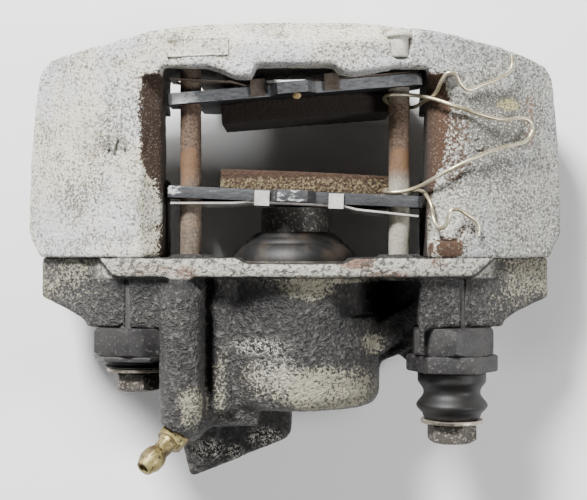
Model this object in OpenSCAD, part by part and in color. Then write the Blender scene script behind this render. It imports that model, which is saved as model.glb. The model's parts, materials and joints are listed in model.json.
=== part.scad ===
// Sliding disc-brake caliper in two bolted halves, with two pads on pad pins.
// X runs along the disc's edge, Y along the wheel axis (outboard is +Y), Z away from the wheel axis.
// The origin is on the piston axis, midway between the two linings.

/* [Disc] */
// Outer radius of the disc that the caliper straddles
disc_r = 129; // [126:0.5:130]
// Height of the disc's edge above the piston axis
disc_top = 17; // [16:0.5:18]
// Free gap between the two linings
disc_gap = 24; // [23:0.5:26]

/* [Casting] */
// Half of the width over the two arms
body_half = 120; // [118:0.5:121]
// Half of the width of the window
window_half = 57.5; // [56:0.5:58]
// Highest point of the bridge above the piston axis
bridge_top = 46; // [45:0.5:48]
// Radius of the bridge's arched back
back_r = 190; // [186:1:196]
// Outboard face of the outer wall
outer_face = 51; // [50:0.5:52]
// Plane where the two halves meet
parting = -50; // [-51:0.5:-50]
// Radius of the cylinder barrel
barrel_r = 38.3; // [37.8:0.1:38.8]
// Closed end of the barrel
barrel_end = -116; // [-119:0.5:-115]

/* [Piston] */
// Radius of the piston's body
piston_r = 24; // [23:0.25:24.5]
// Radius of the piston's nose
nose_r = 15.5; // [15:0.25:16.5]

/* [Pads] */
// Width of a backing plate
plate_w = 111; // [106:0.5:112]
// Thickness of a backing plate
plate_t = 5; // [4.5:0.1:5.2]
// Thickness of a lining
lining_t = 9; // [6:0.5:9]
// Turn of the outer pad about Z on its pins
outer_skew = 4.6; // [0:0.2:4.6]
// Turn of the inner pad about Z on its pins
inner_skew = -2.4; // [-2.4:0.2:0]
// Radius of a pad pin
pad_pin_r = 4.65; // [4.4:0.05:4.8]

/* [Guide pins] */
// Distance of each guide pin from the middle
guide_x = 69; // [68.5:0.25:71]
// Radius of a sliding pin
guide_r = 6.85; // [6.5:0.05:6.85]
// Width across flats of the bridge bolts
bolt_af = 34; // [32:1:34]
// How far the left pin is pulled out
left_out = 0; // [0:1:10]
// How far the right pin is pulled out
right_out = 22.8; // [18:0.2:23]

/* [Hidden] */
$fn = 64;

eps = 0.01;
fit = 0.05;                         // radial clearance of a fastener in its hole
axle_z = disc_top - disc_r;         // the wheel axis
back_z = bridge_top - back_r;       // centre of the arched back
disc_clear_r = disc_r + 4;
foot_z = -barrel_r - 0.3;           // what the caliper stands on

pad_pin_x = 46;
pad_pin_z = 15;
pad_pin_hole = pad_pin_r + 0.65;
inner_pad_y = -disc_gap / 2 - lining_t - plate_t / 2;
outer_pad_y = disc_gap / 2 + lining_t + plate_t / 2 - 0.2;
shim_t = 0.8;

wall_y = 32.6;                      // inboard face of the outer wall, behind the outer pad
wall_pin_x = 43.4;
wall_pin_y = 42.8;
wall_pin_z = 37.6;

guide_z = 17;
seat_y = -80.5;                     // face that the bridge bolt heads pull on
bolt_r = 10;
bolt_head = 12;
bolt_tip = -24;
bolt_bore = guide_r + 0.06;
carrier_y = seat_y - bolt_head;
carrier_bore = 8.7;
carrier_neck_r = 10.5;
washer_left_y = -98;                // face of the left washer with its pin pushed in
pin_l = 76;
washer_t = 1.6;
washer_r = 13.6;
head_h = 8.7;
collar_r = 8.4;
collar_l = 3.2;

bore_r = piston_r + fit;
bore_end = -110;
piston_front = -50.5;               // step from the nose to the body
piston_back = -94;
nose_front = inner_pad_y - plate_t / 2 - shim_t - 0.95;
seal_y = -70;
mouth_r = 29.5;                     // recess at the bore's mouth, which holds the boot
mouth_end = -54.5;

ear_half = 114.5;                   // half of the width over the inner half's ears
boss_x = -47.9;
boss_z = 35.4;
boss_r = 9.7;
boss_front = -59;                   // where it dips under the flange's band
boss_end = -121;
bleed_at = [-48.5, -123, 32.5];     // where the bleed screw leaves its boss
bleed_turn = [0, 52, 225];          // its axis leans 38 degrees above the XY plane, to -X and -Y
port_at = [-25.2, -140.2, -8];      // middle of the hose port's face
port_turn = 22;                     // the face's turn from the -Y direction, towards +X
port_r = 4.5;

iron = [0.62, 0.62, 0.59];
dark_iron = [0.24, 0.24, 0.25];
rust = [0.45, 0.33, 0.24];
steel = [0.6, 0.6, 0.6];
black_steel = [0.15, 0.15, 0.16];
rubber = [0.1, 0.1, 0.1];
zinc = [0.72, 0.68, 0.5];

// An XZ outline, pulled along Y from y0 up to y1
module along_y(y0, y1) translate([0, y1, 0]) rotate([90, 0, 0]) linear_extrude(y1 - y0) children();

// A rod along Y at (x, z), from y0 up to y1
module rod(x, z, y0, y1, r) translate([x, y1, z]) rotate([90, 0, 0]) cylinder(r = r, h = y1 - y0);

// A profile of [radius, y] points, turned about the line along Y at (x, z)
module turned(x, z, profile) translate([x, 0, z]) rotate([-90, 0, 0]) rotate_extrude() polygon(profile);

// A hexagonal head from y0 up to y1, with its corners chamfered and one corner at angle a
module hex_head(x, z, y0, y1, af, a, chamfer = 1.6) {
    corner = af / sqrt(3);
    intersection() {
        translate([x, y1, z]) rotate([90, 0, 0]) rotate([0, 0, a]) cylinder(r = corner, h = y1 - y0, $fn = 6);
        turned(x, z, [[0, y0], [corner - chamfer * 1.6, y0], [corner + 0.1, y0 + chamfer],
                      [corner + 0.1, y1 - chamfer], [corner - chamfer * 1.6, y1], [0, y1]]);
    }
}

// Outline of the arched back in XZ, down to z_low
module back_outline(half, z_low, sink = 0) {
    intersection() {
        translate([0, back_z]) circle(r = back_r - sink, $fn = 128);
        translate([-half, z_low]) square([2 * half, bridge_top - z_low + 1]);
    }
}

// Plan of the outer half
module outer_plan() {
    polygon([[-ear_half, parting], [-116.5, parting + 4], [-118.5, parting + 7], [-body_half, parting + 11],
             [-body_half, parting + 28], [-118.5, 0], [-116.5, 18], [-115, 28], [-113, 34],
             [-109, 37.5], [-103, 39], [-89, 41.5], [-72, 44.5], [-57, 47.5],
             [-40, outer_face - 1.2], [-20, outer_face], [24, outer_face],
             [45, outer_face - 2], [67, 45.5], [90, 41.5], [104, 38], [112, 35], [115.5, 30], [117, 18],
             [119, 0], [body_half, parting + 28], [body_half, parting + 11],
             [116.5, parting + 5], [ear_half, parting]]);
}

// Opening of the window and the slopes beside it
module window_cut() {
    translate([-window_half, parting - 1, -60]) cube([2 * window_half, wall_y - parting + 1, 90]);
    // above the pads, the wall's edge comes forward in two lugs
    translate([0, 0, 29]) linear_extrude(40) polygon([
        [-window_half, parting - 1], [window_half, parting - 1], [window_half, 30.4], [42, 30.4],
        [34, 28.6], [26, 27.4], [18, 27.6], [16.8, 30.8], [-16.8, 31.2], [-18, 26], [-25, 25.8],
        [-30, 28], [-37, 30.6], [-window_half, 31]]);
    // the wire's scoop at the right, which stays clear of the bridge bolt, and a plain slope at the left
    along_y(-43, 27)
        polygon([[window_half - 1, 22.5], [window_half, 22.5], [62, 26.2], [76, 32],
                 [80, 50], [window_half - 1, 50]]);
    along_y(parting - 1, 27)
        polygon([[1 - window_half, 26], [-window_half, 26], [-67, 35], [-70, 50], [1 - window_half, 50]]);
}

// Fingers that press the outer pad, hung below the outer wall
module fingers() {
    along_y(wall_y, 47) polygon([[-40, foot_z], [40, foot_z], [50, -8], [50, 9.5], [-50, 9.5], [-50, -8]]);
    for (side = [-1, 1]) translate([side * 26 - 7, wall_y - 2, foot_z]) cube([14, 3, -foot_z + 20]);
}

module outer_housing() color(iron) {
    difference() {
        union() {
            difference() {
                intersection() {
                    translate([0, 0, -60]) linear_extrude(120) outer_plan();
                    along_y(parting, outer_face + 1) back_outline(body_half, -12);
                }
                window_cut();
                // room for the disc
                rod(0, axle_z, -15, 15, disc_clear_r);
                // the outer wall's top falls away outboard
                translate([-80, 39.5, bridge_top]) rotate([-54, 0, 0]) cube([160, 60, 30]);
            }
            fingers();
            // cast bosses round the pad pins
            for (side = [-1, 1]) rod(side * pad_pin_x, pad_pin_z, wall_y + 0.5, outer_face - 3.5, 9.5);
        }
        for (side = [-1, 1]) {
            rod(side * pad_pin_x, pad_pin_z, 25, 60, pad_pin_r + fit);
            rod(side * pad_pin_x, pad_pin_z, outer_face - 6, 60, 6.6);
            rod(side * guide_x, guide_z, parting - 1, bolt_tip + 0.5, bolt_r + fit);
            rod(side * guide_x, guide_z, parting, -17, guide_r + 0.6);
        }
        // notch between the fingers
        translate([-13, 25, foot_z - 1]) cube([26, 40, -16 - foot_z]);
        // hole for the headed pin in the wall's top
        rod(wall_pin_x, wall_pin_z, 34, wall_pin_y + 0.6, 4.6 + fit);
        rod(wall_pin_x, wall_pin_z, wall_pin_y - 0.4, 60, 6.4);
        // round casting marks on the right arm
        translate([78.5, -1, 28]) rotate([0, 25, 0]) difference() {
            cylinder(r = 3.2, h = 12);
            cylinder(r = 2.3, h = 12);
        }
        translate([87, 3.5, 24.5]) cylinder(r = 1.4, h = 12);
    }
}

// Short headed pin that lies in the top of the outer wall
module wall_pin() color(iron) union() {
    rod(wall_pin_x, wall_pin_z, 34.5, wall_pin_y + 0.1, 4.6);
    turned(wall_pin_x, wall_pin_z, [[0, wall_pin_y], [6.1, wall_pin_y], [6.1, wall_pin_y + 1.6],
                                    [5.2, wall_pin_y + 2.4], [0, wall_pin_y + 2.4]]);
}

// Plan of the inner half's bolting ears
module ear_plan() {
    polygon([[-ear_half, parting], [-ear_half, -68], [-104, -72], [-93, -77], [-91, seat_y],
             [-50, seat_y], [-30, -100], [30, -100], [37, -98], [45, -95], [56, -90], [58, seat_y],
             [91, seat_y], [93, -77], [101, -73], [ear_half, -68], [ear_half, parting]]);
}

module cylinder_housing() color(dark_iron) {
    difference() {
        union() {
            // flange plate with the raised light band on top
            intersection() {
                along_y(-58.5, parting) back_outline(ear_half, -12);
                translate([0, 0, -60]) linear_extrude(120)
                    polygon([[-86, parting], [-78, -58.6], [77, -58.6], [87, parting]]);
            }
            // ears for the bridge bolts
            intersection() {
                translate([0, 0, -60]) linear_extrude(120) ear_plan();
                along_y(-101, parting) difference() {
                    back_outline(ear_half, -12, 4);
                    square([2 * 53, 160], center = true);
                }
            }
            // low web between the barrel and the ears
            translate([0, 0, -12]) linear_extrude(14) ear_plan();
            // barrel, hollowed beside the flange at the right
            difference() {
                rod(0, 0, barrel_end + 6, parting, barrel_r);
                along_y(-76, -58.5) polygon([[19, 33], [30, 12], [54, 12], [54, 60], [19, 60]]);
            }
            turned(0, 0, [[0, barrel_end], [barrel_r - 6, barrel_end], [barrel_r - 1.8, barrel_end + 1.8],
                          [barrel_r, barrel_end + 6], [0, barrel_end + 6]]);
            // flat cheek that the barrel stands on
            translate([-17, barrel_end + 6, foot_z]) cube([34, parting - barrel_end - 6, 20]);
            // rib from the barrel to the right ear
            translate([0, 0, -12]) linear_extrude(28)
                polygon([[28, -84], [42, -76], [56, -68], [66, -64],
                         [66, -79], [54, -80.4], [40, -92], [28, -97]]);
            // gallery that carries fluid to the bleed screw
            turned(boss_x, boss_z, [[0, boss_end - 6], [6, boss_end - 6], [boss_r, boss_end - 1],
                                    [boss_r, boss_front - 7], [4, boss_front], [0, boss_front]]);
            translate([boss_x - 7, boss_end - 2, -6]) cube([14, boss_front - boss_end, boss_z + 4]);
            translate([boss_x, boss_end - 2, -6]) cube([32, parting - boss_end - 8, 33]);
            rod(-31, 25, boss_end + 5, parting - 8, 6.5);
            // fin below the right bolt head
            translate([0, 0, -13]) linear_extrude(9)
                polygon([[40, -78], [46, -93], [54, -100], [61, -108.5], [67, -109], [70, -100], [70, -78]]);
            rotate_to_bleed() translate([0, 0, -16]) cylinder(r = 8.6, h = 15);
            // lobe for the hose port
            translate([0, 0, -22]) linear_extrude(28)
                polygon([[-50, -112], [-50, -137], [-47, -149], [-4, -131.6], [-1.6, -128], [-1.6, -108]]);
            translate([0, 0, 2]) linear_extrude(10)
                polygon([[-50, -112], [-50, -133], [-36, -136], [-28, -112]]);
            for (side = [-1, 1]) rod(side * pad_pin_x, pad_pin_z, -60, -48.5, 9);
        }
        // bore, seal groove and mouth
        rod(0, 0, bore_end, parting + 1, bore_r);
        rod(0, 0, seal_y - 2, seal_y + 2, bore_r + 3);
        rod(0, 0, mouth_end, parting + 1, mouth_r);
        // set-back above the boot
        translate([0, 0, 20]) linear_extrude(40)
            polygon([[-27, parting + 1], [-20, parting - 2.4], [20, parting - 2.4], [27, parting + 1]]);
        for (side = [-1, 1]) {
            rod(side * pad_pin_x, pad_pin_z, -57.5, -40, pad_pin_r + fit);
            rod(side * guide_x, guide_z, -110, -40, bolt_r + fit);
            rod(side * guide_x, guide_z, -130, seat_y, 20.6);
        }
        // bleed screw's hole, with its cone seat, and the gallery behind it
        rotate_to_bleed() translate([0, 0, -12]) cylinder(r = 5 + fit, h = 30);
        rotate_to_bleed() translate([0, 0, -0.6]) cylinder(r = 8, h = 20);
        rotate_to_bleed() translate([0, 0, -17]) cylinder(r1 = 2, r2 = 5, h = 5 + eps);
        rod(boss_x + 4, boss_z - 8, boss_end + 6, -104, 2);
        // hose port and its drilling to the bore
        translate(port_at) rotate([90, 0, port_turn]) translate([0, 0, -16]) cylinder(r = port_r, h = 30);
    }
}

module rotate_to_bleed() translate(bleed_at) rotate(bleed_turn) children();

module piston() color(steel) turned(0, 0, [
    [10.5, nose_front], [nose_r, nose_front], [nose_r, -38.6], [nose_r - 1.4, -38.6], [nose_r - 1.4, -41],
    [nose_r, -41], [nose_r, piston_front], [piston_r - 1, piston_front], [piston_r, piston_front - 1],
    [piston_r, piston_back + 1], [piston_r - 1, piston_back], [0, piston_back], [0, -87], [10.5, -87]]);

module piston_seal() color(rubber) turned(0, 0, [
    [piston_r + 0.02, seal_y - 1.9], [bore_r + 2.9, seal_y - 1.9],
    [bore_r + 2.9, seal_y + 1.9], [piston_r + 0.02, seal_y + 1.9]]);

// Convoluted boot: lip in the mouth, cone over the nose, bead in the nose's groove
module piston_boot() color(rubber) turned(0, 0, [
    [24.6, -54.4], [27.9, -54.4], [27.9, -51.2], [27.5, -49.8], [26, -46.6], [23.4, -43.8], [22, -42.3],
    [19.9, -41.3], [18.6, -40.2], [16.6, -38.7], [nose_r - 1.35, -38.7], [nose_r - 1.35, -40.8],
    [nose_r + 0.1, -40.8], [16.6, -41.6], [20.4, -44.2], [23.2, -47.2], [25, -50.2], [24.6, -51.5]]);

module boot_ring() color(steel) turned(0, 0, [
    [27.95, -53.2], [mouth_r - 0.05, -53.2], [mouth_r - 0.05, -51.6], [27.95, -51.6]]);

// Backing plate in XZ: straight top with a raised middle, ears for the pins, narrower foot
module plate_outline() {
    half = plate_w / 2;
    difference() {
        union() {
            polygon([[-half, 7], [-half, 22], [-half + 2, 24], [-10.6, 24], [-7.6, 31], [5.4, 31], [9, 24],
                     [half - 2, 24], [half, 22], [half, 7], [half - 4, 4.5], [44, 2], [43, -20], [38, -26],
                     [-38, -26], [-43, -20], [-44, 2], [-half + 4, 4.5]]);
        }
        for (side = [-1, 1]) translate([side * pad_pin_x, pad_pin_z]) circle(r = pad_pin_hole);
    }
}

// Lining in XZ: a sector of the disc's face
module lining_outline() {
    difference() {
        intersection() {
            translate([0, axle_z]) circle(r = disc_r - 1.5, $fn = 128);
            translate([-33.5, -26]) square([76, 60]);
        }
        translate([0, axle_z]) circle(r = disc_r - 41, $fn = 128);
    }
}

// Places a pad part: its own Y is outwards from the disc
module pad_place(y, skew) translate([0, y, 0]) rotate([0, 0, skew]) children();

module pad_plate() along_y(-plate_t / 2, plate_t / 2) plate_outline();

// Lining on the plate's disc side; side is +1 where the disc is towards +Y
module pad_lining(side) {
    near = plate_t / 2;
    along_y(side > 0 ? near : -near - lining_t, side > 0 ? near + lining_t : -near) lining_outline();
}

// Thin shim on the plate's back, away from the disc. Its two ends spring away by [near, far] gaps,
// and two tabs, moved along by shift, fold over the plate's top edge and stand out behind it.
module pad_shim(side, left, right, shift, behind) {
    back = plate_t / 2 + 0.1;
    mirror([0, side > 0 ? 1 : 0, 0]) {
        intersection() {
            translate([0, 0, -40]) linear_extrude(80) polygon([
                [-54, back + left[1]], [-27, back + left[0]], [-21, back], [21, back], [27, back + right[0]],
                [54, back + right[1]], [54, back + right[1] + shim_t], [27, back + right[0] + shim_t],
                [21, back + shim_t], [-21, back + shim_t], [-27, back + left[0] + shim_t],
                [-54, back + left[1] + shim_t]]);
            along_y(-12, 12) difference() {
                polygon([[-54, 9], [-54, 23.2], [54, 23.2], [54, 9],
                         [42, 2], [41, -22], [-41, -22], [-42, 2]]);
                for (x = [-pad_pin_x, pad_pin_x]) translate([x, pad_pin_z]) circle(r = pad_pin_hole + 0.6);
            }
        }
        for (x = [-19.2, 13]) translate([x + shift, 0, 0]) {
            translate([0, back, 18]) cube([6.4, shim_t, 7]);
            translate([0, -2, 24.2]) cube([6.4, back + behind + 2, 0.9]);
            translate([0, back + behind - shim_t, 21.4]) cube([6.4, shim_t, 3.7]);
        }
    }
}

module pad_pin(side) color(rust) union() {
    rod(side * pad_pin_x, pad_pin_z, -57, outer_face - 4.9, pad_pin_r);
    rod(side * pad_pin_x, pad_pin_z, outer_face - 4.9, outer_face - 3.7, pad_pin_r - 0.7);
    turned(side * pad_pin_x, pad_pin_z, [[0, outer_face - 3.7], [pad_pin_r, outer_face - 3.7],
        [pad_pin_r, outer_face - 1.8], [pad_pin_r - 1, outer_face - 0.8], [0, outer_face - 0.8]]);
}

// Snap ring in the pin's groove, at the bottom of the outboard recess
module pad_pin_ring(side) color(steel) difference() {
    rod(side * pad_pin_x, pad_pin_z, outer_face - 4.8, outer_face - 3.8, 6.4);
    rod(side * pad_pin_x, pad_pin_z, outer_face - 6, outer_face - 2, pad_pin_r - 0.65);
    translate([side * pad_pin_x - 1.6, outer_face - 6, pad_pin_z]) cube([3.2, 4, 8]);
}

wire_r = 0.85;
spring_path = [
    [94, 38, 25], [93.4, 31.6, 26], [87.4, 27, 28.5], [80, 24, 31], [73.8, 21.6, 33.2],
    [70.2, 23.9, 35.2], [68, 27.3, 36.6],
    [65, 28.3, 36.8], [62.6, 25.8, 35], [60.4, 20.7, 30], [56.2, 18.1, 21], [51.8, 16.6, 12.6],
    [46, 17.6, 8.9], [41, 19.2, 10.4], [39.6, 20.6, 15], [41.6, 21.2, 19.6], [46, 21.2, 21.2],
    [51.5, 20.5, 23.6], [58, 18.7, 28.6], [70.4, 13.9, 33.6], [83.6, 10.2, 30.5], [91.5, 9.5, 26.8],
    [97.7, 10.6, 23.6], [102.6, 9.2, 21.2], [103.9, 5.6, 20.6], [101.6, 1.6, 21.6], [95.5, -1, 24.5],
    [88.4, -2.7, 28], [74.5, -8.4, 33.4], [62, -14.6, 31.4], [52.6, -19.6, 24], [46, -21.3, 21.2],
    [41.6, -21.4, 19.6], [39.6, -20.9, 15], [41, -19.8, 10.4], [46, -19.4, 8.9], [51.6, -20.3, 12],
    [55.6, -20.9, 18.5], [57.4, -24, 25.8], [58.8, -28, 28.6], [59.4, -32.8, 29.6], [60.8, -36.6, 32.4],
    [62.9, -37.3, 34.8], [64.8, -33.6, 36.6], [65.8, -30.2, 36.8], [68.2, -29.4, 36.6], [73, -31.7, 35],
    [78.3, -36.3, 31.8], [78.3, -40.6, 31.4]];

function unit(v) = v / norm(v);
function lerp3(p, i, t) =
    let (a = p[max(i - 1, 0)], b = p[i], c = p[i + 1], d = p[min(i + 2, len(p) - 1)])
    0.5 * ((2 * b) + (c - a) * t + (2 * a - 5 * b + 4 * c - d) * t * t + (3 * b - a - 3 * c + d) * t * t * t);
function smooth_path(p, n) = concat(
    [for (i = [0 : len(p) - 2]) for (k = [0 : n - 1]) lerp3(p, i, k / n)],
    [p[len(p) - 1]]);
function tangents(p) = [for (i = [0 : len(p) - 1]) unit(p[min(i + 1, len(p) - 1)] - p[max(i - 1, 0)])];
function across(n, t) = unit(n - (n * t) * t);

// Sweeps a round section along a path, carrying its frame forward without twist
module sweep(path, r, sides) {
    t = tangents(path);
    n = [for (i = 0, v = across([0, 0, 1], t[0]); i < len(path);
              v = across(v, t[min(i + 1, len(path) - 1)]), i = i + 1) v];
    points = [for (i = [0 : len(path) - 1]) for (k = [0 : sides - 1])
        path[i] + r * (cos(360 * k / sides) * n[i] + sin(360 * k / sides) * cross(t[i], n[i]))];
    last = (len(path) - 1) * sides;
    sides_faces = [for (i = [0 : len(path) - 2]) for (k = [0 : sides - 1])
        let (a = i * sides + k, b = i * sides + (k + 1) % sides)
        each [[a, a + sides, b], [b, a + sides, b + sides]]];
    start_face = [for (k = [0 : sides - 1]) k];
    end_face = [for (k = [sides - 1 : -1 : 0]) last + k];
    polyhedron(points, concat(sides_faces, [start_face], [end_face]));
}

module pad_spring() color(steel) sweep(smooth_path(spring_path, 3), wire_r, 8);

module bridge_bolt(side, corner) color(black_steel) difference() {
    union() {
        rod(side * guide_x, guide_z, seat_y - 1, bolt_tip, bolt_r);
        hex_head(side * guide_x, guide_z, carrier_y, seat_y, bolt_af, corner);
    }
    rod(side * guide_x, guide_z, carrier_y - 1, bolt_tip + 1, bolt_bore);
}

// Hexagonal carrier with the neck that the slide boot grips; depth is the hexagon's
module boot_carrier(side, depth, neck, corner) color(black_steel) difference() {
    union() {
        hex_head(side * guide_x, guide_z, carrier_y - depth, carrier_y - eps, bolt_af + 0.8, corner, 0.6);
        rod(side * guide_x, guide_z, carrier_y - depth - neck, carrier_y - 1, carrier_neck_r);
    }
    rod(side * guide_x, guide_z, carrier_y - 20, carrier_y + 1, carrier_bore);
}

// face is the washer's outboard face
module slide_pin(side, face) color(steel) difference() {
    union() {
        turned(side * guide_x, guide_z, [[0, face], [guide_r, face], [guide_r, face + pin_l - 1.5],
            [guide_r - 1.5, face + pin_l], [0, face + pin_l]]);
        rod(side * guide_x, guide_z, face, face + collar_l, collar_r);
    }
    rod(side * guide_x, guide_z, face - 1, face + 30, 4 + fit);
}

module slide_washer(side, face) color(zinc) difference() {
    rod(side * guide_x, guide_z, face - washer_t, face - eps, washer_r);
    rod(side * guide_x, guide_z, face - 4, face + 1, 4 + fit);
}

module pin_bolt(side, face, corner) color(steel) union() {
    hex_head(side * guide_x, guide_z, face - washer_t - head_h, face - washer_t - eps, 19, corner);
    rod(side * guide_x, guide_z, face - washer_t - 1, face + 26, 4);
}

// Stretched boot: cylinder on the carrier's neck, waist, bulge, bead on the pin's collar
module slide_boot_right(face = right_face, top = carrier_y - 7.2) color(rubber) turned(guide_x, guide_z, [
    [collar_r + 0.05, face + 0.1], [12.2, face + 0.1], [13.4, face + 2.8], [15.4, face + 5.6],
    [15.6, face + 7.4],
    [13.6, face + 9.8], [12.4, face + 12.2], [13, face + 14.2], [15, face + 16.4], [15, top - 0.1],
    [carrier_neck_r + 0.05, top - 0.1], [carrier_neck_r + 0.05, top - 4.4], [10.6, face + 12.2],
    [11.6, face + 9.6], [13.6, face + 7], [11.6, face + 3.8], [collar_r + 0.05, face + 2.6]]);

module slide_boot_left(face = left_face, top = carrier_y - 2.1) color(rubber) turned(-guide_x, guide_z, [
    [carrier_neck_r + 0.3, face + 0.1], [13.4, face + 0.2], [14.4, face + 1.1], [13, face + 1.7],
    [14.2, face + 2.3],
    [13.6, top - 0.1], [carrier_neck_r + 0.05, top - 0.1]]);

module bleeder_screw() color(zinc) rotate_to_bleed() difference() {
    union() {
        translate([0, 0, -12]) cylinder(r = 5, h = 12);
        translate([0, 0, -15]) cylinder(r1 = 2, r2 = 4.4, h = 3 + eps);
        intersection() {
            translate([0, 0, -eps]) rotate([0, 0, 15]) cylinder(r = 11 / sqrt(3), h = 9, $fn = 6);
            translate([0, 0, -1]) cylinder(r1 = 14, r2 = 5.4, h = 10.1);
        }
        rotate_extrude() polygon([[0, 8], [4.9, 8], [3.9, 10.5], [3.7, 15], [4.6, 16.6], [5.1, 18.2],
                                  [5.1, 21.4], [3.4, 25.5], [0, 25.5]]);
    }
    translate([0, 0, -11]) cylinder(r = 1.5, h = 40);
    translate([0, 0, 23.4]) cylinder(r1 = 1.5, r2 = 2.6, h = 2.2);
}

right_face = washer_left_y - right_out;
left_face = washer_left_y - left_out;

// The paired pieces, each with its own side's measures
module inner_pad_plate() { color(black_steel) pad_place(inner_pad_y, inner_skew) pad_plate(); }
module inner_pad_lining() { color(rust) pad_place(inner_pad_y, inner_skew) pad_lining(1); }
module inner_pad_shim() { color(steel)
    pad_place(inner_pad_y, inner_skew) pad_shim(1, [0.8, 2], [1.4, 3.2], 1.7, 1.9); }
module outer_pad_plate() { color(black_steel) pad_place(outer_pad_y, outer_skew) pad_plate(); }
module outer_pad_lining() { color(rust) pad_place(outer_pad_y, outer_skew) pad_lining(-1); }
module outer_pad_shim() { color(steel)
    pad_place(outer_pad_y, outer_skew) pad_shim(-1, [2.4, 5.8], [0.15, 0.2], 0, 2.8); }
module pad_pin_left() { pad_pin(-1); }
module pad_pin_right() { pad_pin(1); }
module pad_pin_ring_left() { pad_pin_ring(-1); }
module pad_pin_ring_right() { pad_pin_ring(1); }
module bridge_bolt_left() { bridge_bolt(-1, 37.5); }
module bridge_bolt_right() { bridge_bolt(1, 32); }
module boot_carrier_left() { boot_carrier(-1, 2.1, 2.8, 8); }
module boot_carrier_right() { boot_carrier(1, 7.2, 3.6, 8); }
module slide_pin_left() { slide_pin(-1, left_face); }
module slide_pin_right() { slide_pin(1, right_face); }
module slide_washer_left() { slide_washer(-1, left_face); }
module slide_washer_right() { slide_washer(1, right_face); }
module pin_bolt_left() { pin_bolt(-1, left_face, 11); }
module pin_bolt_right() { pin_bolt(1, right_face, 20); }

outer_housing();
cylinder_housing();
piston();
piston_seal();
piston_boot();
boot_ring();
inner_pad_plate();
inner_pad_lining();
inner_pad_shim();
outer_pad_plate();
outer_pad_lining();
outer_pad_shim();
pad_pin_left();
pad_pin_right();
pad_pin_ring_left();
pad_pin_ring_right();
wall_pin();
pad_spring();
bridge_bolt_left();
bridge_bolt_right();
boot_carrier_left();
boot_carrier_right();
slide_pin_left();
slide_pin_right();
slide_boot_left();
slide_boot_right();
slide_washer_left();
slide_washer_right();
pin_bolt_left();
pin_bolt_right();
bleeder_screw();
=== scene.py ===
import json
import math

import bpy
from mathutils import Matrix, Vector

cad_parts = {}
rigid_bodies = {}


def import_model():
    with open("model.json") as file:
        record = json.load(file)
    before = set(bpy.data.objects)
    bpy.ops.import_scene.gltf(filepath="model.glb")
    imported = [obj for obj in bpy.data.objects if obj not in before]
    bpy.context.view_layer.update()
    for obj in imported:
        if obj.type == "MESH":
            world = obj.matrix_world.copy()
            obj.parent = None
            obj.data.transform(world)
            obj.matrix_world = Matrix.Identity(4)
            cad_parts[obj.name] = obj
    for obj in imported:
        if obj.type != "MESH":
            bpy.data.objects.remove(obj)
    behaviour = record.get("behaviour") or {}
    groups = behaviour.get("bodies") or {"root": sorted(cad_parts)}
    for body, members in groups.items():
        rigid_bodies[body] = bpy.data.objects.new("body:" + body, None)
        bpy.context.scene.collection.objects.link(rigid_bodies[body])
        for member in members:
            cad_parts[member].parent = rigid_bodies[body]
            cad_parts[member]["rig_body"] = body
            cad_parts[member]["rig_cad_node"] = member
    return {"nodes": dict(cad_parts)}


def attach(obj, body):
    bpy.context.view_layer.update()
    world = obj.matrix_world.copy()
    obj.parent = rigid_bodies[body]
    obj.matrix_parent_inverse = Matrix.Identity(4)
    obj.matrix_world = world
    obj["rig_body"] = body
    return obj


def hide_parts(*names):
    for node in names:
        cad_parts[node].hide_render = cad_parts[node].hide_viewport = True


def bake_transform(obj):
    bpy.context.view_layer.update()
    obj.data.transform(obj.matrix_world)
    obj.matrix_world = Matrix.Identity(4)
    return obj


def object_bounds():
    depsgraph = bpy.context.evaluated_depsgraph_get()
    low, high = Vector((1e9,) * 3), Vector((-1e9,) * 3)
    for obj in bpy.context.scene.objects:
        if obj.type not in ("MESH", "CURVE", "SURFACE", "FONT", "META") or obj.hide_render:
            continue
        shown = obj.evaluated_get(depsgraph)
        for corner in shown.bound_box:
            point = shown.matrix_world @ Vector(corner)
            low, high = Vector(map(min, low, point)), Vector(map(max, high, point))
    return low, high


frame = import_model()
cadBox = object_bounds()
nodes = frame["nodes"]
mm = 0.001
print("frame loaded:", len(nodes), "parts")


# small helpers
def onlySelect(*objects):
    if bpy.context.object and bpy.context.object.mode != "OBJECT":
        bpy.ops.object.mode_set(mode="OBJECT")
    bpy.ops.object.select_all(action="DESELECT")
    for piece in objects:
        piece.select_set(True)
    bpy.context.view_layer.objects.active = objects[0]


def linearColour(hexCode, alpha=1.0):
    values = [int(hexCode[i:i + 2], 16) / 255 for i in (1, 3, 5)]
    return [v / 12.92 if v <= 0.04045 else ((v + 0.055) / 1.055) ** 2.4 for v in values] + [alpha]


def addNode(tree, kind, inputs=None, **settings):
    # inputs are values or sockets, by name or number; settings are the node's own properties
    made = tree.nodes.new("ShaderNode" + kind)
    for name, value in settings.items():
        setattr(made, name, value)
    for key, value in (inputs or {}).items():
        socket = made.inputs[key]
        if isinstance(value, bpy.types.NodeSocket):
            tree.links.new(value, socket)
        elif isinstance(value, str):
            socket.default_value = linearColour(value)
        else:
            socket.default_value = value
    return made


def newMaterial(name):
    material = bpy.data.materials.new(name)
    material.use_nodes = True
    tree = material.node_tree
    tree.nodes.clear()
    place = addNode(tree, "TexCoord").outputs["Object"]
    return material, tree, place


def finishMaterial(tree, colour, roughness, height=None, depth=0.0, metallic=0.0):
    shader = addNode(tree, "BsdfPrincipled", {"Base Color": colour, "Roughness": roughness,
                                              "Metallic": metallic})
    if height is not None:
        bump = addNode(tree, "Bump", {"Height": height, "Strength": 1.0, "Distance": depth})
        tree.links.new(bump.outputs["Normal"], shader.inputs["Normal"])
    addNode(tree, "OutputMaterial", {"Surface": shader.outputs["BSDF"]})


def dress(piece, material):
    piece.data.materials.clear()
    piece.data.materials.append(material)


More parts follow.
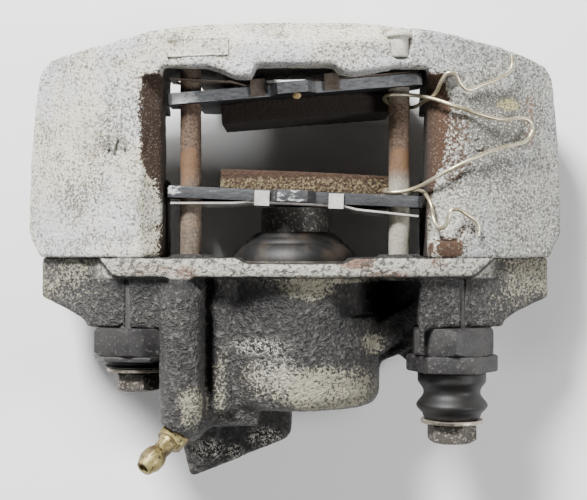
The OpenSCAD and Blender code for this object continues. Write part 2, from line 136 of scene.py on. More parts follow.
def copyNode(nodeName, pieceName):
    # a merged copy of a CAD mesh, ready to be worked on
    piece = nodes[nodeName].copy()
    piece.data = nodes[nodeName].data.copy()
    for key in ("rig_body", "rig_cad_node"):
        if key in piece:
            del piece[key]
    piece.name = pieceName
    piece.parent = None
    bpy.context.scene.collection.objects.link(piece)
    onlySelect(piece)
    bpy.ops.object.mode_set(mode="EDIT")
    bpy.ops.mesh.select_all(action="SELECT")
    bpy.ops.mesh.remove_doubles(threshold=0.005 * mm)
    bpy.ops.object.mode_set(mode="OBJECT")
    return piece


def applyModifier(piece, kind, **settings):
    onlySelect(piece)
    modifier = piece.modifiers.new(kind.lower(), kind)
    for name, value in settings.items():
        setattr(modifier, name, value)
    bpy.ops.object.modifier_apply(modifier=modifier.name)


def settle(piece, nodeName, material, body):
    dress(piece, material)
    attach(piece, body)
    if nodeName:
        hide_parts(nodeName)


# camera, light and floor
view = {"lens": 72.9, "x": -0.65 * mm, "y": -46.7 * mm, "height": 540 * mm}
bpy.ops.object.select_all(action="DESELECT")
bpy.ops.object.camera_add(location=(view["x"], view["y"], view["height"]), rotation=(0, 0, 0))
camera = bpy.context.object
camera.data.lens = view["lens"]
camera.data.sensor_width = 36
camera.data.clip_start = 0.01
bpy.context.scene.camera = camera

floorLevel = cadBox[0][2] - 0.1 * mm
bpy.ops.mesh.primitive_plane_add(size=6, location=(0, 0, floorLevel))
floor = bpy.context.object
floor.name = "floor"
floorMaterial, tree, place = newMaterial("palePaper")
mottle = addNode(tree, "TexNoise", {"Vector": place, "Scale": 3.0, "Detail": 1.0}).outputs["Fac"]
paper = addNode(tree, "Mix", {0: mottle, 6: "#f4f4f3", 7: "#fafafa"}, data_type="RGBA").outputs[2]
finishMaterial(tree, paper, 0.9)
dress(floor, floorMaterial)

# the lights stand well off the zenith, so the floor under the window stays dark
lights = {
    "key": {"at": (-0.5, 0.98, 0.9), "size": 0.35, "power": 72},
    "fill": {"at": (1.0, -0.25, 0.82), "size": 0.35, "power": 13},
    "rim": {"at": (-0.75, -0.7, 0.95), "size": 0.35, "power": 5},
}
for name, light in lights.items():
    bpy.ops.object.light_add(type="AREA", location=light["at"])
    lamp = bpy.context.object
    lamp.name = name + "Light"
    lamp.data.size = light["size"]
    lamp.data.energy = light["power"]
    lamp.rotation_euler = Vector(light["at"]).to_track_quat("Z", "Y").to_euler()

world = bpy.data.worlds.new("studio")
bpy.context.scene.world = world
world.use_nodes = True
world.node_tree.nodes["Background"].inputs["Color"].default_value = linearColour("#f2f4f8")
world.node_tree.nodes["Background"].inputs["Strength"].default_value = 0.04
print("camera, light and floor ready")


# finishes
def perMm(size):
    # a noise scale whose features are about this many millimetres apart
    return 1000 / size


def patch(tree, place, x, y, halfX, halfY, strength=1.0):
    # a soft oval in plan, 1 in its middle and 0 outside it; sizes in mm
    offset = addNode(tree, "VectorMath", {0: place, 1: (x * mm, y * mm, 0)},
                     operation="SUBTRACT").outputs[0]
    scaled = addNode(tree, "VectorMath", {0: offset, 1: (1000 / halfX, 1000 / halfY, 0)},
                     operation="MULTIPLY").outputs[0]
    away = addNode(tree, "VectorMath", {0: scaled}, operation="LENGTH").outputs["Value"]
    return addNode(tree, "MapRange", {0: away, 1: 1.15, 2: 0.35, 4: strength},
                   interpolation_type="SMOOTHSTEP").outputs[0]


def strongest(tree, fields):
    found = fields[0]
    for field in fields[1:]:
        found = addNode(tree, "Math", {0: found, 1: field}, operation="MAXIMUM").outputs[0]
    return found


def speckles(tree, noise, cover, soft=0.035, strength=1.0):
    # spots where the noise is high, with cover from 0 (none) to 1 (all of it)
    level = addNode(tree, "Math", {0: cover, 1: -0.46, 2: 0.72}, operation="MULTIPLY_ADD").outputs[0]
    over = addNode(tree, "Math", {0: noise, 1: level}, operation="SUBTRACT").outputs[0]
    return addNode(tree, "MapRange", {0: over, 1: -soft, 2: soft, 4: strength},
                   interpolation_type="SMOOTHSTEP").outputs[0]


def paleCastIron():
    # sand-cast iron with an oxidised, dusty skin: chalky, with warm stains and black pin-prick pits,
    # and brown rust at the window
    material, tree, place = newMaterial("paleCastIron")
    xyz = addNode(tree, "SeparateXYZ", {0: place})
    side = addNode(tree, "Math", {0: xyz.outputs["X"]}, operation="ABSOLUTE").outputs[0]
    broad = addNode(tree, "TexNoise", {"Vector": place, "Scale": perMm(38), "Detail": 4.0,
                                       "Roughness": 0.6}).outputs["Fac"]
    stain = addNode(tree, "TexNoise", {"Vector": place, "Scale": perMm(15), "Detail": 5.0,
                                       "Roughness": 0.65}).outputs["Fac"]
    grit = addNode(tree, "TexNoise", {"Vector": place, "Scale": perMm(1.3), "Detail": 3.0,
                                      "Roughness": 0.75}).outputs["Fac"]
    sand = addNode(tree, "TexNoise", {"Vector": place, "Scale": perMm(0.9), "Detail": 2.0,
                                      "Roughness": 0.7}).outputs["Fac"]
    greyer = addNode(tree, "MapRange", {0: xyz.outputs["X"], 1: 40 * mm, 2: 72 * mm},
                     interpolation_type="SMOOTHSTEP").outputs[0]
    warmth = addNode(tree, "MapRange", {0: broad, 1: 0.42, 2: 0.58},
                     interpolation_type="SMOOTHSTEP").outputs[0]
    skin = addNode(tree, "Mix", {0: warmth, 6: "#c2c3c4", 7: "#cfc9b4"}, data_type="RGBA").outputs[2]
    olive = addNode(tree, "MapRange", {0: stain, 1: 0.5, 2: 0.7, 4: 0.6},
                    interpolation_type="SMOOTHSTEP").outputs[0]
    skin = addNode(tree, "Mix", {0: olive, 6: skin, 7: "#a19a7c"}, data_type="RGBA").outputs[2]
    greyer = addNode(tree, "Math", {0: greyer, 1: 0.72}, operation="MULTIPLY").outputs[0]
    skin = addNode(tree, "Mix", {0: greyer, 6: skin, 7: "#979a9a"}, data_type="RGBA").outputs[2]
    # pits lie thicker in the grey right arm and in the shallow dents
    dents = [patch(tree, place, 88, 10, 26, 16, 0.3), patch(tree, place, 80, -8, 22, 20, 0.2),
             patch(tree, place, -92, -22, 16, 12, 0.14), patch(tree, place, -70, 12, 14, 18, 0.14),
             patch(tree, place, -76.8, -1.3, 9, 6, 0.3)]
    thick = addNode(tree, "MapRange", {0: xyz.outputs["X"], 1: 35 * mm, 2: 75 * mm, 3: 0.38,
                                       4: 0.46}).outputs[0]
    thick = addNode(tree, "Math", {0: thick, 1: strongest(tree, dents)}, operation="ADD").outputs[0]
    uneven = addNode(tree, "Math", {0: stain, 1: 0.7, 2: -0.35}, operation="MULTIPLY_ADD").outputs[0]
    thick = addNode(tree, "Math", {0: uneven, 1: thick}, operation="ADD").outputs[0]
    skin = addNode(tree, "Mix", {0: speckles(tree, grit, thick, 0.07, 0.9), 6: skin, 7: "#57554e"},
                   data_type="RGBA").outputs[2]
    chalk = addNode(tree, "MapRange", {0: sand, 1: 0.54, 2: 0.66, 4: 0.8},
                    interpolation_type="SMOOTHSTEP").outputs[0]
    skin = addNode(tree, "Mix", {0: chalk, 6: skin, 7: "#eceae2"}, data_type="RGBA").outputs[2]
    # a rust streak and a yellow crust near the right arm's outer edge
    streak = addNode(tree, "Math", {0: patch(tree, place, 104, 10, 3.2, 19), 1: stain},
                     operation="MULTIPLY").outputs[0]
    skin = addNode(tree, "Mix", {0: speckles(tree, grit, streak, 0.06, 0.7), 6: skin, 7: "#8a5f3e"},
                   data_type="RGBA").outputs[2]
    crust = addNode(tree, "Math", {0: patch(tree, place, 93, 16.5, 9, 4), 1: stain},
                    operation="MULTIPLY").outputs[0]
    skin = addNode(tree, "Mix", {0: speckles(tree, sand, crust, 0.05, 0.9), 6: skin, 7: "#c9bf7d"},
                   data_type="RGBA").outputs[2]
    # rust creeps in from the window, wider towards the outboard end, and peters out in specks
    reach = addNode(tree, "MapRange", {0: xyz.outputs["Y"], 1: -30 * mm, 2: 2 * mm, 3: 58.5 * mm,
                                       4: 66.5 * mm},
                    interpolation_type="SMOOTHSTEP").outputs[0]
    ragged = addNode(tree, "Math", {0: stain, 1: 12 * mm, 2: -6 * mm},
                     operation="MULTIPLY_ADD").outputs[0]
    edge = addNode(tree, "Math", {0: reach, 1: ragged}, operation="ADD").outputs[0]
    inside = addNode(tree, "Math", {0: edge, 1: side}, operation="SUBTRACT").outputs[0]
    rusty = addNode(tree, "MapRange", {0: inside, 1: -3.5 * mm, 2: 4 * mm},
                    interpolation_type="SMOOTHSTEP").outputs[0]
    faint = [patch(tree, place, 68, -2, 11, 26, 0.5), patch(tree, place, 66, -46, 9, 7, 0.9),
             patch(tree, place, 74, -38, 8, 6, 0.4)]
    rusty = strongest(tree, [rusty] + faint)
    window = addNode(tree, "MapRange", {0: xyz.outputs["Y"], 1: 31.5 * mm, 2: 26 * mm},
                     interpolation_type="SMOOTHSTEP").outputs[0]
    rusty = addNode(tree, "Math", {0: rusty, 1: window}, operation="MULTIPLY").outputs[0]
    arms = addNode(tree, "MapRange", {0: side, 1: 44 * mm, 2: 54 * mm},
                   interpolation_type="SMOOTHSTEP").outputs[0]
    rusty = addNode(tree, "Math", {0: rusty, 1: arms}, operation="MULTIPLY").outputs[0]
    rust = addNode(tree, "Mix", {0: stain, 6: "#150f0b", 7: "#443023"}, data_type="RGBA").outputs[2]
    glow = addNode(tree, "MapRange", {0: xyz.outputs["X"], 1: 0.0, 2: 30 * mm, 4: 0.3}).outputs[0]
    rust = addNode(tree, "Mix", {0: glow, 6: rust, 7: "#5f422d"}, data_type="RGBA").outputs[2]
    ash = addNode(tree, "MapRange", {0: sand, 1: 0.56, 2: 0.68, 4: 0.4},
                  interpolation_type="SMOOTHSTEP").outputs[0]
    rust = addNode(tree, "Mix", {0: ash, 6: rust, 7: "#a19383"}, data_type="RGBA").outputs[2]
    skin = addNode(tree, "Mix", {0: speckles(tree, grit, rusty, 0.05), 6: skin, 7: rust},
                   data_type="RGBA").outputs[2]
    # painted shade: the window's inner walls are darkened below the rim, and every downward-facing
    # surface too
    depth = addNode(tree, "MapRange", {0: xyz.outputs["Z"], 1: 27 * mm, 2: 20 * mm},
                    interpolation_type="SMOOTHSTEP").outputs[0]
    inner = addNode(tree, "MapRange", {0: side, 1: 66 * mm, 2: 60 * mm},
                    interpolation_type="SMOOTHSTEP").outputs[0]
    short = addNode(tree, "MapRange", {0: xyz.outputs["Y"], 1: 36 * mm, 2: 33.5 * mm},
                    interpolation_type="SMOOTHSTEP").outputs[0]
    depth = addNode(tree, "Math", {0: depth, 1: inner}, operation="MULTIPLY").outputs[0]
    depth = addNode(tree, "Math", {0: depth, 1: short}, operation="MULTIPLY").outputs[0]
    normal = addNode(tree, "SeparateXYZ",
                     {0: addNode(tree, "NewGeometry").outputs["Normal"]}).outputs["Z"]
    undersideShade = addNode(tree, "MapRange", {0: normal, 1: -0.1, 2: -0.7, 4: 0.8},
                    interpolation_type="SMOOTHSTEP").outputs[0]
    # brown-black colour of the painted shade
    film = addNode(tree, "Mix", {0: stain, 6: "#1a1614", 7: "#3a2f27"}, data_type="RGBA").outputs[2]
    skin = addNode(tree, "Mix", {0: strongest(tree, [undersideShade, depth]), 6: skin, 7: film},
                   data_type="RGBA").outputs[2]
    height = addNode(tree, "Math", {0: grit, 1: sand}, operation="ADD").outputs[0]
    rough = addNode(tree, "MapRange", {0: broad, 3: 0.82, 4: 0.95}).outputs[0]
    finishMaterial(tree, skin, rough, height, 0.5 * mm)
    return material


def darkCastIron():
    # sand-cast iron in old black paint and oil: charcoal orange peel, lightened on its high spots as a
    # painted highlight and darkened in its hollows as painted shade, with pale dust on its flange
    material, tree, place = newMaterial("darkCastIron")
    xyz = addNode(tree, "SeparateXYZ", {0: place})
    side = addNode(tree, "Math", {0: xyz.outputs["X"]}, operation="ABSOLUTE").outputs[0]
    broad = addNode(tree, "TexNoise", {"Vector": place, "Scale": perMm(22), "Detail": 5.0,
                                       "Roughness": 0.62}).outputs["Fac"]
    peel = addNode(tree, "TexNoise", {"Vector": place, "Scale": perMm(2.1), "Detail": 3.0,
                                      "Roughness": 0.6, "Distortion": 0.3}).outputs["Fac"]
    grit = addNode(tree, "TexNoise", {"Vector": place, "Scale": perMm(1.2), "Detail": 3.0,
                                      "Roughness": 0.7}).outputs["Fac"]
    normal = addNode(tree, "SeparateXYZ",
                     {0: addNode(tree, "NewGeometry").outputs["Normal"]}).outputs["Z"]
    up = addNode(tree, "MapRange", {0: normal, 1: 0.1, 2: 0.6},
                 interpolation_type="SMOOTHSTEP").outputs[0]
    skin = addNode(tree, "Mix", {0: broad, 6: "#262526", 7: "#3b3835"}, data_type="RGBA").outputs[2]
    # painted highlight on the peel's high spots, which the bump also raises, and painted shade in its low
    # spots
    high = addNode(tree, "MapRange", {0: peel, 1: 0.52, 2: 0.68, 4: 0.6},
                   interpolation_type="SMOOTHSTEP").outputs[0]
    skin = addNode(tree, "Mix", {0: high, 6: skin, 7: "#706c68"}, data_type="RGBA").outputs[2]
    low = addNode(tree, "MapRange", {0: peel, 1: 0.46, 2: 0.34, 4: 0.6},
                  interpolation_type="SMOOTHSTEP").outputs[0]
    skin = addNode(tree, "Mix", {0: low, 6: skin, 7: "#151415"}, data_type="RGBA").outputs[2]
    # loose pale dust: thick on the barrel's closed end, the ears and the lower end of the boss
    ears = addNode(tree, "MapRange", {0: side, 1: 74 * mm, 2: 98 * mm, 4: 0.46},
                   interpolation_type="SMOOTHSTEP").outputs[0]
    earFade = addNode(tree, "MapRange", {0: xyz.outputs["Y"], 1: -88 * mm, 2: -60 * mm},
                      interpolation_type="SMOOTHSTEP").outputs[0]
    ears = addNode(tree, "Math", {0: ears, 1: earFade}, operation="MULTIPLY").outputs[0]
    dusty = [ears, patch(tree, place, 15, -107, 34, 16, 0.62),
             patch(tree, place, -6, -103, 22, 12, 0.5), patch(tree, place, 5, -62, 17, 8, 0.6),
             patch(tree, place, 34, -88, 8, 7, 0.5), patch(tree, place, -43, -113, 8, 13, 0.56),
             patch(tree, place, -32, -104, 5, 20, 0.4), patch(tree, place, 20, -59.5, 44, 2.4, 0.6)]
    dust = addNode(tree, "Math", {0: broad, 1: 0.9, 2: -0.45}, operation="MULTIPLY_ADD").outputs[0]
    dust = addNode(tree, "Math", {0: strongest(tree, dusty), 1: dust}, operation="ADD").outputs[0]
    cover = addNode(tree, "Math", {0: speckles(tree, grit, dust, 0.06, 0.9), 1: up},
                    operation="MULTIPLY").outputs[0]
    powder = addNode(tree, "Mix", {0: broad, 6: "#8a8573", 7: "#b5b09a"}, data_type="RGBA").outputs[2]
    skin = addNode(tree, "Mix", {0: cover, 6: skin, 7: powder}, data_type="RGBA").outputs[2]
    # painted shade just under the flange's edge, on the barrel below it, in the hollows beside the barrel
    # and by the right bolt, and a darker hose lobe
    paintedShade = strongest(tree, [patch(tree, place, -26, -132, 30, 14, 0.75),
                            patch(tree, place, -68, -62, 16, 5, 0.85),
                            patch(tree, place, 45, -66, 20, 9, 0.7),
                            patch(tree, place, -46, -61, 12, 3, 0.6),
                            patch(tree, place, -14, -68, 22, 9, 0.6),
                            patch(tree, place, 20, -76, 18, 8, 0.5)])
    skin = addNode(tree, "Mix", {0: paintedShade, 6: skin, 7: "#121213"}, data_type="RGBA").outputs[2]
    # white bloom that has crept along cracks in the paint
    worm = addNode(tree, "Math", {0: peel, 1: 0.5}, operation="SUBTRACT").outputs[0]
    worm = addNode(tree, "Math", {0: worm}, operation="ABSOLUTE").outputs[0]
    worm = addNode(tree, "MapRange", {0: worm, 1: 0.03, 2: 0.012},
                   interpolation_type="SMOOTHSTEP").outputs[0]
    bloom = [patch(tree, place, -15, -88, 16, 5), patch(tree, place, -39, -136, 9, 7),
             patch(tree, place, -27, -138, 5, 5), patch(tree, place, -13, -131, 10, 6),
             patch(tree, place, -8, -98, 12, 10, 0.7)]
    worm = addNode(tree, "Math", {0: worm, 1: strongest(tree, bloom)}, operation="MULTIPLY").outputs[0]
    worm = addNode(tree, "Math", {0: worm, 1: up}, operation="MULTIPLY").outputs[0]
    skin = addNode(tree, "Mix", {0: worm, 6: skin, 7: "#d6d3c8"}, data_type="RGBA").outputs[2]
    # the flange's top: bare pale skin with rust spots
    band = addNode(tree, "MapRange", {0: xyz.outputs["Y"], 1: -59.4 * mm, 2: -58.2 * mm},
                   interpolation_type="SMOOTHSTEP").outputs[0]
    flat = addNode(tree, "MapRange", {0: normal, 1: 0.5, 2: 0.8},
                   interpolation_type="SMOOTHSTEP").outputs[0]
    band = addNode(tree, "Math", {0: band, 1: flat}, operation="MULTIPLY").outputs[0]
    wide = addNode(tree, "MapRange", {0: side, 1: 89 * mm, 2: 84 * mm},
                   interpolation_type="SMOOTHSTEP").outputs[0]
    band = addNode(tree, "Math", {0: band, 1: wide}, operation="MULTIPLY").outputs[0]
    pale = addNode(tree, "Mix", {0: grit, 6: "#86847a", 7: "#dad8cb"}, data_type="RGBA").outputs[2]
    rusts = [patch(tree, place, 26, -52, 11, 4, 0.8), patch(tree, place, 38, -57, 14, 3, 0.55),
             patch(tree, place, -46, -56, 7, 4, 0.6), patch(tree, place, -62, -55, 20, 4, 0.45),
             patch(tree, place, 60, -52, 6, 4, 0.5)]
    blot = speckles(tree, grit, strongest(tree, rusts), 0.07, 0.85)
    pale = addNode(tree, "Mix", {0: blot, 6: pale, 7: "#7c5440"}, data_type="RGBA").outputs[2]
    pits = addNode(tree, "MapRange", {0: peel, 1: 0.5, 2: 0.6, 4: 0.85},
                   interpolation_type="SMOOTHSTEP").outputs[0]
    pale = addNode(tree, "Mix", {0: pits, 6: pale, 7: "#4a4842"}, data_type="RGBA").outputs[2]
    skin = addNode(tree, "Mix", {0: band, 6: skin, 7: pale}, data_type="RGBA").outputs[2]
    rough = addNode(tree, "MapRange", {0: cover, 3: 0.48, 4: 0.9}).outputs[0]
    height = addNode(tree, "Math", {0: peel, 1: 1.6, 2: grit}, operation="MULTIPLY_ADD").outputs[0]
    finishMaterial(tree, skin, rough, height, 1.5 * mm)
    return material


def speckledMetal(name, dark, light, spot, spotSize=1.4, amount=0.5, metallic=0.0, rough=(0.45, 0.75),
                  depth=0.1):
    # metal whose plating or skin has broken up: two tones in patches, and spots of a third
    material, tree, place = newMaterial(name)
    broad = addNode(tree, "TexNoise", {"Vector": place, "Scale": perMm(9), "Detail": 4.0,
                                       "Roughness": 0.65}).outputs["Fac"]
    fine = addNode(tree, "TexNoise", {"Vector": place, "Scale": perMm(spotSize), "Detail": 3.0,
                                      "Roughness": 0.7}).outputs["Fac"]
    tone = addNode(tree, "MapRange", {0: broad, 1: 0.35, 2: 0.65},
                   interpolation_type="SMOOTHSTEP").outputs[0]
    colour = addNode(tree, "Mix", {0: tone, 6: dark, 7: light}, data_type="RGBA").outputs[2]
    edge = 0.68 - 0.22 * amount
    spots = addNode(tree, "MapRange", {0: fine, 1: edge - 0.05, 2: edge + 0.05, 4: 0.9},
                    interpolation_type="SMOOTHSTEP").outputs[0]
    colour = addNode(tree, "Mix", {0: spots, 6: colour, 7: spot}, data_type="RGBA").outputs[2]
    roughness = addNode(tree, "MapRange", {0: fine, 1: 0.3, 2: 0.7, 3: rough[0],
                                           4: rough[1]}).outputs[0]
    finishMaterial(tree, colour, roughness, fine, depth * mm, metallic)
    return material


def blackPlate():
    # steel plate in black baked paint, scuffed to blue-grey steel on its upper edge, most of all on
    # the outer plate
    material, tree, place = newMaterial("scuffedBlackPlate")
    xyz = addNode(tree, "SeparateXYZ", {0: place})
    normal = addNode(tree, "SeparateXYZ",
                     {0: addNode(tree, "NewGeometry").outputs["Normal"]}).outputs["Z"]
    along = addNode(tree, "VectorMath", {0: place, 1: (0.35, 1, 1)}, operation="MULTIPLY").outputs[0]
    broad = addNode(tree, "TexNoise", {"Vector": along, "Scale": perMm(5), "Detail": 5.0,
                                       "Roughness": 0.7}).outputs["Fac"]
    fine = addNode(tree, "TexNoise", {"Vector": along, "Scale": perMm(1.3), "Detail": 3.0,
                                      "Roughness": 0.7}).outputs["Fac"]
    paint = addNode(tree, "Mix", {0: broad, 6: "#101012", 7: "#2a2a2d"}, data_type="RGBA").outputs[2]
    up = addNode(tree, "MapRange", {0: normal, 1: 0.3, 2: 0.75},
                 interpolation_type="SMOOTHSTEP").outputs[0]
    outer = addNode(tree, "MapRange", {0: xyz.outputs["Y"], 1: -10 * mm, 2: 5 * mm, 3: 0.12,
                                       4: 1.0}).outputs[0]
    worn = addNode(tree, "MapRange", {0: fine, 1: 0.34, 2: 0.56, 3: 0.5},
                   interpolation_type="SMOOTHSTEP").outputs[0]
    worn = addNode(tree, "Math", {0: worn, 1: up}, operation="MULTIPLY").outputs[0]
    worn = addNode(tree, "Math", {0: worn, 1: outer}, operation="MULTIPLY").outputs[0]
    steel = addNode(tree, "Mix", {0: broad, 6: "#4a4c50", 7: "#b4b6b9"}, data_type="RGBA").outputs[2]
    colour = addNode(tree, "Mix", {0: worn, 6: paint, 7: steel}, data_type="RGBA").outputs[2]
    bare = [patch(tree, place, -50, 19, 9, 7, 0.8), patch(tree, place, -53, -20, 5, 4, 0.5),
            patch(tree, place, -3, -23, 9, 6, 0.35)]
    bare = speckles(tree, fine, strongest(tree, bare), 0.08, 0.8)
    bare = addNode(tree, "Math", {0: bare, 1: up}, operation="MULTIPLY").outputs[0]
    colour = addNode(tree, "Mix", {0: bare, 6: colour, 7: "#cfd0cf"}, data_type="RGBA").outputs[2]
    rough = addNode(tree, "MapRange", {0: fine, 3: 0.4, 4: 0.7}).outputs[0]
    finishMaterial(tree, colour, rough, fine, 0.3 * mm)
    return material


def frictionLining():
    # moulded friction compound with rusted swarf: a smooth brown rim on the disc's side, with ochre
    # and grey grains behind it
    material, tree, place = newMaterial("mouldedFrictionLining")
    y = addNode(tree, "SeparateXYZ", {0: place}).outputs["Y"]
    broad = addNode(tree, "TexNoise", {"Vector": place, "Scale": perMm(8), "Detail": 4.0,
                                       "Roughness": 0.6}).outputs["Fac"]
    fine = addNode(tree, "TexNoise", {"Vector": place, "Scale": perMm(1.1), "Detail": 3.0,
                                      "Roughness": 0.75}).outputs["Fac"]
    grain = addNode(tree, "TexVoronoi", {"Vector": place, "Scale": perMm(1.3)}, feature="F1")
    brown = addNode(tree, "Mix", {0: broad, 6: "#2b1d15", 7: "#4a3424"}, data_type="RGBA").outputs[2]
    behind = addNode(tree, "MapRange", {0: y, 1: -13 * mm, 2: -16 * mm, 3: 0.05, 4: 0.42},
                     interpolation_type="SMOOTHSTEP").outputs[0]
    brown = addNode(tree, "Mix", {0: speckles(tree, fine, behind, 0.06, 0.9), 6: brown, 7: "#7a7154"},
                    data_type="RGBA").outputs[2]
    holes = addNode(tree, "MapRange", {0: fine, 1: 0.44, 2: 0.34, 4: 0.85},
                    interpolation_type="SMOOTHSTEP").outputs[0]
    brown = addNode(tree, "Mix", {0: holes, 6: brown, 7: "#1d1510"}, data_type="RGBA").outputs[2]
    # painted shade: the outer pad's lining, on the outboard side, is darkened to nearly black
    outer = addNode(tree, "MapRange", {0: y, 1: 2 * mm, 2: 6 * mm, 4: 0.8}).outputs[0]
    colour = addNode(tree, "Mix", {0: outer, 6: brown, 7: "#14110f"}, data_type="RGBA").outputs[2]
    height = addNode(tree, "Math", {0: grain.outputs["Distance"], 1: fine}, operation="ADD").outputs[0]
    finishMaterial(tree, colour, 0.92, height, 0.4 * mm)
    return material


def rustyPin():
    # plain steel pin with an even brown rust, orange where it is fresh and grey where it has rubbed
    material, tree, place = newMaterial("rustedSteelPin")
    xyz = addNode(tree, "SeparateXYZ", {0: place})
    broad = addNode(tree, "TexNoise", {"Vector": place, "Scale": perMm(11), "Detail": 4.0,
                                       "Roughness": 0.6}).outputs["Fac"]
    fine = addNode(tree, "TexNoise", {"Vector": place, "Scale": perMm(1.1), "Detail": 3.0,
                                      "Roughness": 0.75}).outputs["Fac"]
    grains = addNode(tree, "MapRange", {0: fine, 1: 0.35, 2: 0.65}).outputs[0]
    brown = addNode(tree, "Mix", {0: grains, 6: "#2c211a", 7: "#6b5645"}, data_type="RGBA").outputs[2]
    fresh = [patch(tree, place, -46, -10, 9, 12, 0.6), patch(tree, place, 46, -8, 9, 9, 0.6),
             patch(tree, place, -46, -38, 7, 6, 0.3)]
    orange = speckles(tree, broad, strongest(tree, fresh), 0.1, 0.75)
    colour = addNode(tree, "Mix", {0: orange, 6: brown, 7: "#6b4d31"}, data_type="RGBA").outputs[2]
    right = addNode(tree, "MapRange", {0: xyz.outputs["X"], 1: -5 * mm, 2: 5 * mm, 3: 0.15}).outputs[0]
    ends = addNode(tree, "Math", {0: xyz.outputs["Y"], 1: 3 * mm}, operation="SUBTRACT").outputs[0]
    ends = addNode(tree, "Math", {0: ends}, operation="ABSOLUTE").outputs[0]
    ends = addNode(tree, "MapRange", {0: ends, 1: 12 * mm, 2: 26 * mm, 4: 0.8},
                   interpolation_type="SMOOTHSTEP").outputs[0]
    bare = addNode(tree, "Math", {0: right, 1: ends}, operation="MULTIPLY").outputs[0]
    greys = addNode(tree, "Mix", {0: fine, 6: "#6b675c", 7: "#c6c3b4"}, data_type="RGBA").outputs[2]
    colour = addNode(tree, "Mix", {0: bare, 6: colour, 7: greys}, data_type="RGBA").outputs[2]
    finishMaterial(tree, colour, 0.8, fine, 0.25 * mm)
    return material


def mouldedRubber(name, dusty):
    # moulded rubber: near black, soft sheen, a film of brown brake dust
    material, tree, place = newMaterial(name)
    broad = addNode(tree, "TexNoise", {"Vector": place, "Scale": perMm(12), "Detail": 4.0,
                                       "Roughness": 0.6}).outputs["Fac"]
    fine = addNode(tree, "TexNoise", {"Vector": place, "Scale": perMm(0.9), "Detail": 2.0,
                                      "Roughness": 0.6}).outputs["Fac"]
    film = addNode(tree, "MapRange", {0: broad, 1: 0.4, 2: 0.7, 4: dusty},
                   interpolation_type="SMOOTHSTEP").outputs[0]
    colour = addNode(tree, "Mix", {0: film, 6: "#0b0b0b", 7: "#463c32"}, data_type="RGBA").outputs[2]
    rough = addNode(tree, "MapRange", {0: fine, 3: 0.48, 4: 0.66}).outputs[0]
    finishMaterial(tree, colour, rough, fine, 0.05 * mm)
    return material


finishes = {
    "pale": paleCastIron(),
    "dark": darkCastIron(),
    "plate": blackPlate(),
    "lining": frictionLining(),
    "padPin": rustyPin(),
    "boot": mouldedRubber("dustyBootRubber", 0.55),
    "slideBoot": mouldedRubber("cleanBootRubber", 0.15),
    # chromed steel piston, its nose etched: steel broken by black pits, its tones darkened as painted
    # shade for the nose under the inner pad
    "piston": speckledMetal("etchedPistonSteel", "#615c54", "#8f897d", "#060606", spotSize=1.3,
                            amount=1.3, metallic=0.3, rough=(0.4, 0.7), depth=0.25),
    # tin-plated shim, chalky white where it has aged
    "innerShim": speckledMetal("chalkyTinnedShim", "#aaa49f", "#cbc5c0", "#857e77", spotSize=1.2,
                               amount=0.2, metallic=0.2, rough=(0.45, 0.6), depth=0.05),
    # the same sheet stained brown by brake dust
    "outerShim": speckledMetal("stainedTinnedShim", "#5c5148", "#7b6f65", "#3b322b", spotSize=1.2,
                               amount=0.3, metallic=0.2, rough=(0.5, 0.7), depth=0.06),
    # bright drawn spring wire with a warm cast
    "wire": speckledMetal("drawnSpringWire", "#b5a98a", "#d9d0b8", "#6e6450", spotSize=1.5, amount=0.15,
                          metallic=0.75, rough=(0.28, 0.42), depth=0.02),
    # black phosphated steel, dry and slightly dusty
    "black": speckledMetal("phosphatedSteel", "#201f20", "#302e2d", "#54504c", spotSize=1.6,
                           amount=0.25, metallic=0.0, rough=(0.45, 0.7), depth=0.2),
    # grey steel screw head with brown and pale dirt on it
    "bolt": speckledMetal("dirtySteelHead", "#35302c", "#5a554f", "#a89f92", spotSize=1.5, amount=0.4,
                          metallic=0.25, rough=(0.45, 0.75), depth=0.15),
    # steel pin head under the same dusty film as the casting
    "wallPin": speckledMetal("dustyPinHead", "#b3b1a4", "#d6d3c6", "#7a766a", spotSize=1.3, amount=0.35,
                             metallic=0.1, rough=(0.6, 0.85), depth=0.15),
    # dull plated washer, bright on its rim
    "washer": speckledMetal("dullPlatedWasher", "#565049", "#b1a898", "#2b2724", spotSize=1.3,
                            amount=0.35, metallic=0.6, rough=(0.35, 0.55), depth=0.05),
    # ground and greased pin
    "guide": speckledMetal("groundGuidePin", "#77767a", "#9d9c9b", "#4b4945", spotSize=1.5, amount=0.1,
                           metallic=0.9, rough=(0.22, 0.35), depth=0.01),
    # yellow zinc plating, browned near the root
    "zinc": speckledMetal("yellowZincPlate", "#5c4c32", "#988b5a", "#33261a", spotSize=1.4, amount=0.5,
                          metallic=0.45, rough=(0.35, 0.55), depth=0.08),
    # dried grease, straw yellow and waxy
    "grease": speckledMetal("driedGrease", "#a58a5a", "#d2bd8c", "#7c6440", spotSize=0.8, amount=0.3,
                            metallic=0.0, rough=(0.5, 0.7), depth=0.1),
    "ring": speckledMetal("springSteelRing", "#5d5850", "#8a857c", "#3a2f26", spotSize=1.2, amount=0.3,
                          metallic=0.6, rough=(0.4, 0.6), depth=0.04),
}
print("finishes made:", len(finishes))


# the two castings
castings = {"voxel": 1.25 * mm, "quickVoxel": 2.2 * mm, "smooth": 6, "swell": 0.7 * mm,
            "swellSize": 16 * mm, "peel": 0.5 * mm, "peelSize": 3 * mm}


